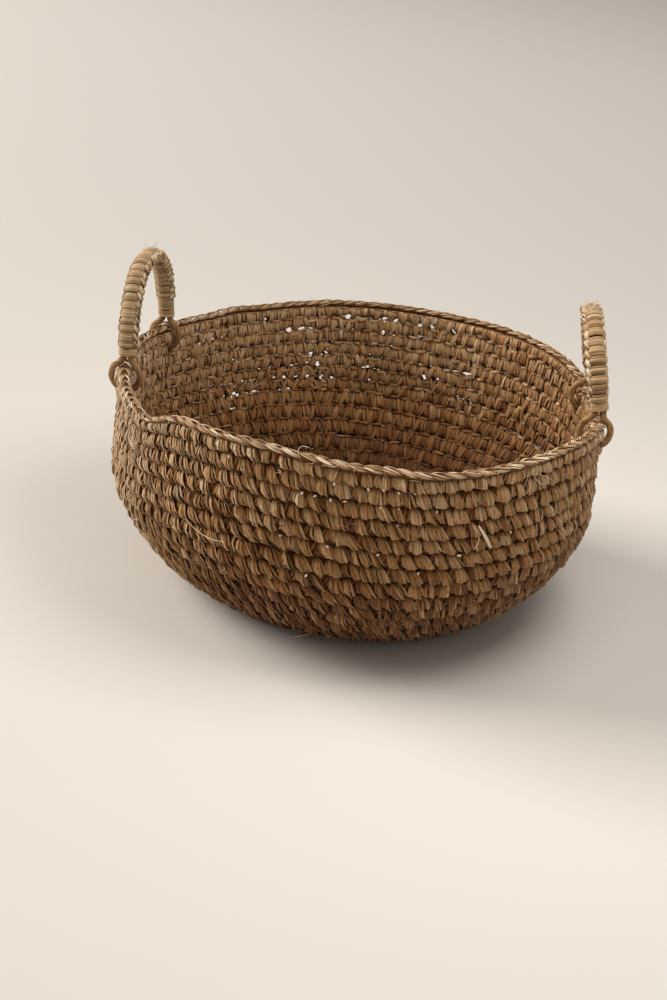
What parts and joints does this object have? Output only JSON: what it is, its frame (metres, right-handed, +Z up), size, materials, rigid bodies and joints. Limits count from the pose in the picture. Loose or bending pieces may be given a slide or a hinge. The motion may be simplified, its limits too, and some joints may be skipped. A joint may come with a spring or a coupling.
{
  "type": "raffia basket tray",
  "caption": "Round crocheted raffia basket tray: flat base, rounded wall of crochet rounds, slip-stitched rim and upright arched cord handles that tilt.",
  "frame": {"origin": "centre of the flat base's underside, on the surface that the basket stands on", "axes": "+Z up out of the basket's mouth; +X towards the right-hand handle, as the picture shows it; +Y towards the back"},
  "size_m": [0.36, 0.3627, 0.2305],
  "materials": {
    "raffia_base": "matt natural raffia, crocheted",
    "raffia_wall": "matt natural raffia, crocheted, with dark gaps between the stitches",
    "raffia_edging": "matt natural raffia, slip stitched, lighter than the wall",
    "raffia_cover": "matt natural raffia, crocheted round the cord",
    "raffia_cord": "smooth twisted raffia cord, slightly glossy",
    "raffia_binding": "matt natural raffia, wrapped"
  },
  "bodies": {
    "basket": {"base_centre": "raffia_base", "base_round_02": "raffia_base", "base_round_03": "raffia_base", "base_round_04": "raffia_base", "base_round_05": "raffia_base", "base_round_06": "raffia_base", "base_round_07": "raffia_base", "base_round_08": "raffia_base", "base_round_09": "raffia_base", "base_round_10": "raffia_base", "wall_round_01": "raffia_wall", "wall_round_02": "raffia_wall", "wall_round_03": "raffia_wall", "wall_round_04": "raffia_wall", "wall_round_05": "raffia_wall", "wall_round_06": "raffia_wall", "wall_round_07": "raffia_wall", "wall_round_08": "raffia_wall", "wall_round_09": "raffia_wall", "wall_round_10": "raffia_wall", "wall_round_11": "raffia_wall", "wall_round_12": "raffia_wall", "wall_round_13": "raffia_wall", "wall_round_14": "raffia_wall", "wall_top_round": "raffia_wall", "rim_edging": "raffia_edging"},
    "left_handle": {"left_handle_cord": "raffia_cord", "left_handle_cover": "raffia_cover", "left_binding_front": "raffia_binding", "left_binding_back": "raffia_binding"},
    "right_handle": {"right_handle_cord": "raffia_cord", "right_handle_cover": "raffia_cover", "right_binding_front": "raffia_binding", "right_binding_back": "raffia_binding"}
  },
  "joints": [
    {"name": "left_handle_tilt", "type": "hinge", "parent": "basket", "child": "left_handle", "pos_m": [-0.16806, 0.01489, 0.13871], "axis": [-0.0823, -0.9943, -0.0682], "range_deg": [-125, 125]},
    {"name": "right_handle_tilt", "type": "hinge", "parent": "basket", "child": "right_handle", "pos_m": [0.16063, 0.01014, 0.15047], "axis": [-0.0408, 0.9985, -0.0373], "range_deg": [-125, 120]}
  ]
}
